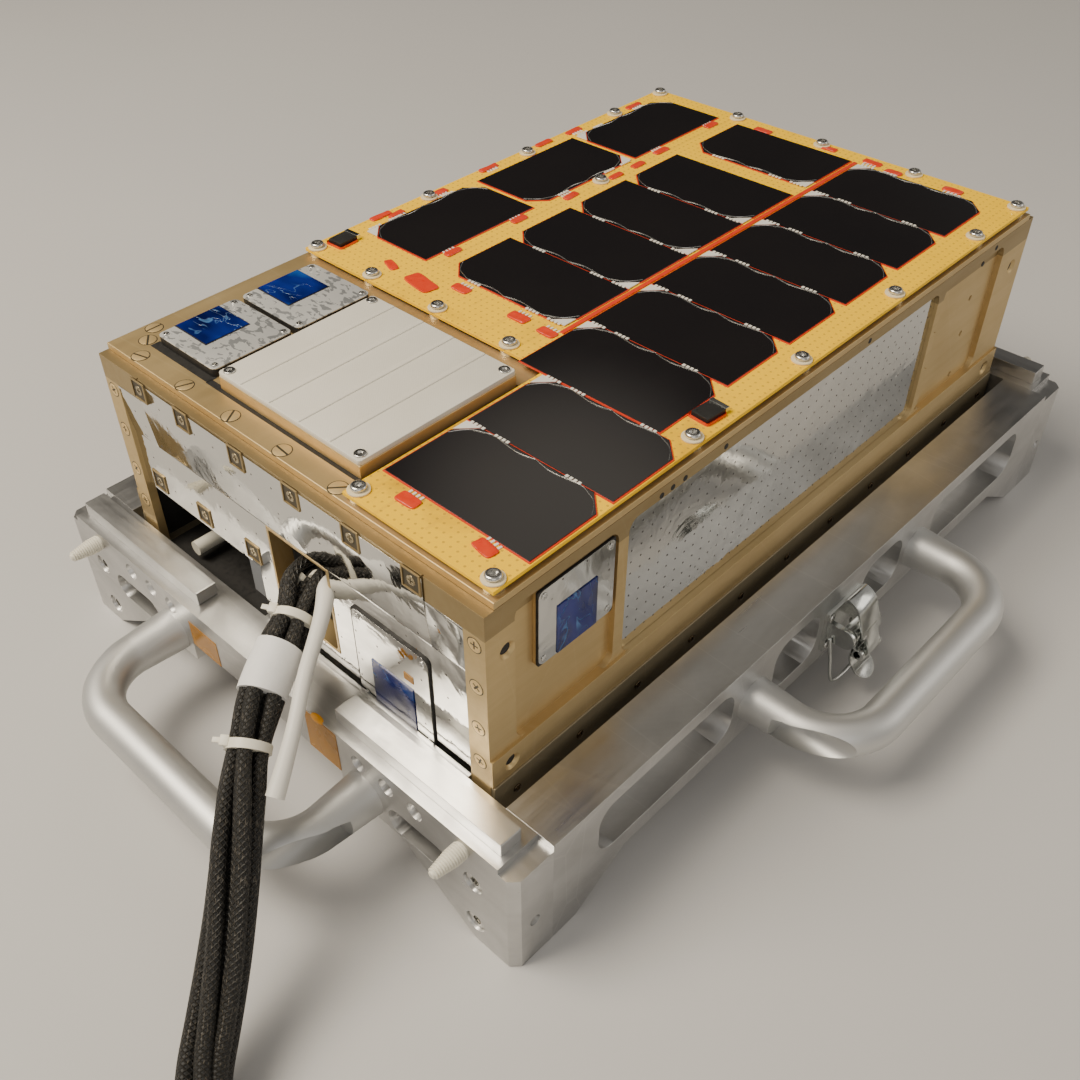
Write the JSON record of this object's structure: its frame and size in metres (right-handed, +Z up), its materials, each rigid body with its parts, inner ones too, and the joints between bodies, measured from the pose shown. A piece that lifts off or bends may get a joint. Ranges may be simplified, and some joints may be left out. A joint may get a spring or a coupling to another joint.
{
  "type": "box-shaped nanosatellite in a handling cradle",
  "caption": "Flat box nanosatellite with deck solar cells, patch antenna and harness pigtail, resting in a milled aluminium cradle with bow handles and draw latches.",
  "frame": {"origin": "on the floor under the middle of the cradle", "axes": "+X along the body away from the harness end, -Y the side whose silver sheet faces the viewer, +Z up"},
  "size_m": [0.6098, 0.3928, 0.1575],
  "materials": {
    "gold_chromate": "milled, yellow chromate conversion coat",
    "dark_anodised": "black hard anodised",
    "silver_film": "silvered thermal film with slight creases",
    "grey_plastic": "moulded, matte",
    "white_nylon": "natural nylon",
    "gold_board": "amber film over a golden laminate with rows of small vias",
    "bright_steel": "bright stainless",
    "solar_cell": "dark blue cell under cover glass, silver fingers",
    "black_epoxy": "moulded epoxy package, blank",
    "white_laminate": "matte white laminate",
    "silver_head": "silvered film with blotches",
    "blue_film": "translucent blue protective film",
    "cradle_aluminium": "milled, fine tool marks",
    "blasted_handle": "bead blasted then lightly polished",
    "braided_sleeve": "black braided sleeve with white ties and a blank white label"
  },
  "bodies": {
    "satellite_in_cradle": {"deck_plate": "gold_chromate", "top_frame": "gold_chromate", "side_panel_near": "gold_chromate", "side_panel_far": "gold_chromate", "bottom_rails": "dark_anodised", "base_plate": "gold_chromate", "end_panel_front": "silver_film", "end_panel_rear": "silver_film", "end_tabs": "gold_chromate", "equipment_block": "dark_anodised", "bay_bracket": "grey_plastic", "bay_rod": "white_nylon", "solar_board": "gold_board", "board_washers": "bright_steel", "cells_corner_pair": "solar_cell", "cells_near_column": "solar_cell", "cells_far_column": "solar_cell", "cells_edge_row": "solar_cell", "board_chips": "black_epoxy", "antenna_block": "gold_chromate", "antenna_plate": "white_laminate", "sensor_heads": "silver_head", "head_films": "blue_film", "sensor_plates": "silver_head", "plate_films": "blue_film", "silver_sheets": "silver_film", "cradle_bar_front": "cradle_aluminium", "cradle_bar_rear": "cradle_aluminium", "cradle_bar_near": "cradle_aluminium", "cradle_bar_far": "cradle_aluminium", "cradle_ledges": "cradle_aluminium", "corner_screws": "bright_steel", "handle_front": "blasted_handle", "handle_rear": "blasted_handle", "handle_near": "blasted_handle", "handle_far": "blasted_handle", "nylon_screws": "white_nylon", "latch_bases": "bright_steel", "harness": "braided_sleeve", "harness_socket": "grey_plastic", "harness_plug": "grey_plastic"},
    "lever_near": {"latch_lever_near": "bright_steel"},
    "claw_near": {"latch_claw_near": "bright_steel"},
    "lever_far": {"latch_lever_far": "bright_steel"},
    "claw_far": {"latch_claw_far": "bright_steel"}
  },
  "joints": [
    {"name": "lever_near_turn", "type": "hinge", "parent": "satellite_in_cradle", "child": "lever_near", "pos_m": [0, -0.1525, 0.0355], "axis": [-1, 0, 0], "range_deg": [0, 90]},
    {"name": "claw_near_turn", "type": "hinge", "parent": "lever_near", "child": "claw_near", "pos_m": [0, -0.159, 0.0275], "axis": [-1, 0, 0], "range_deg": [-90, 0]},
    {"name": "lever_far_turn", "type": "hinge", "parent": "satellite_in_cradle", "child": "lever_far", "pos_m": [0, 0.1525, 0.0355], "axis": [1, 0, 0], "range_deg": [0, 90]},
    {"name": "claw_far_turn", "type": "hinge", "parent": "lever_far", "child": "claw_far", "pos_m": [0, 0.159, 0.0275], "axis": [1, 0, 0], "range_deg": [-90, 0]}
  ],
  "couplings": [
    {"joint": "claw_near_turn", "follows": "lever_near_turn", "ratio": -1},
    {"joint": "claw_far_turn", "follows": "lever_far_turn", "ratio": -1}
  ]
}
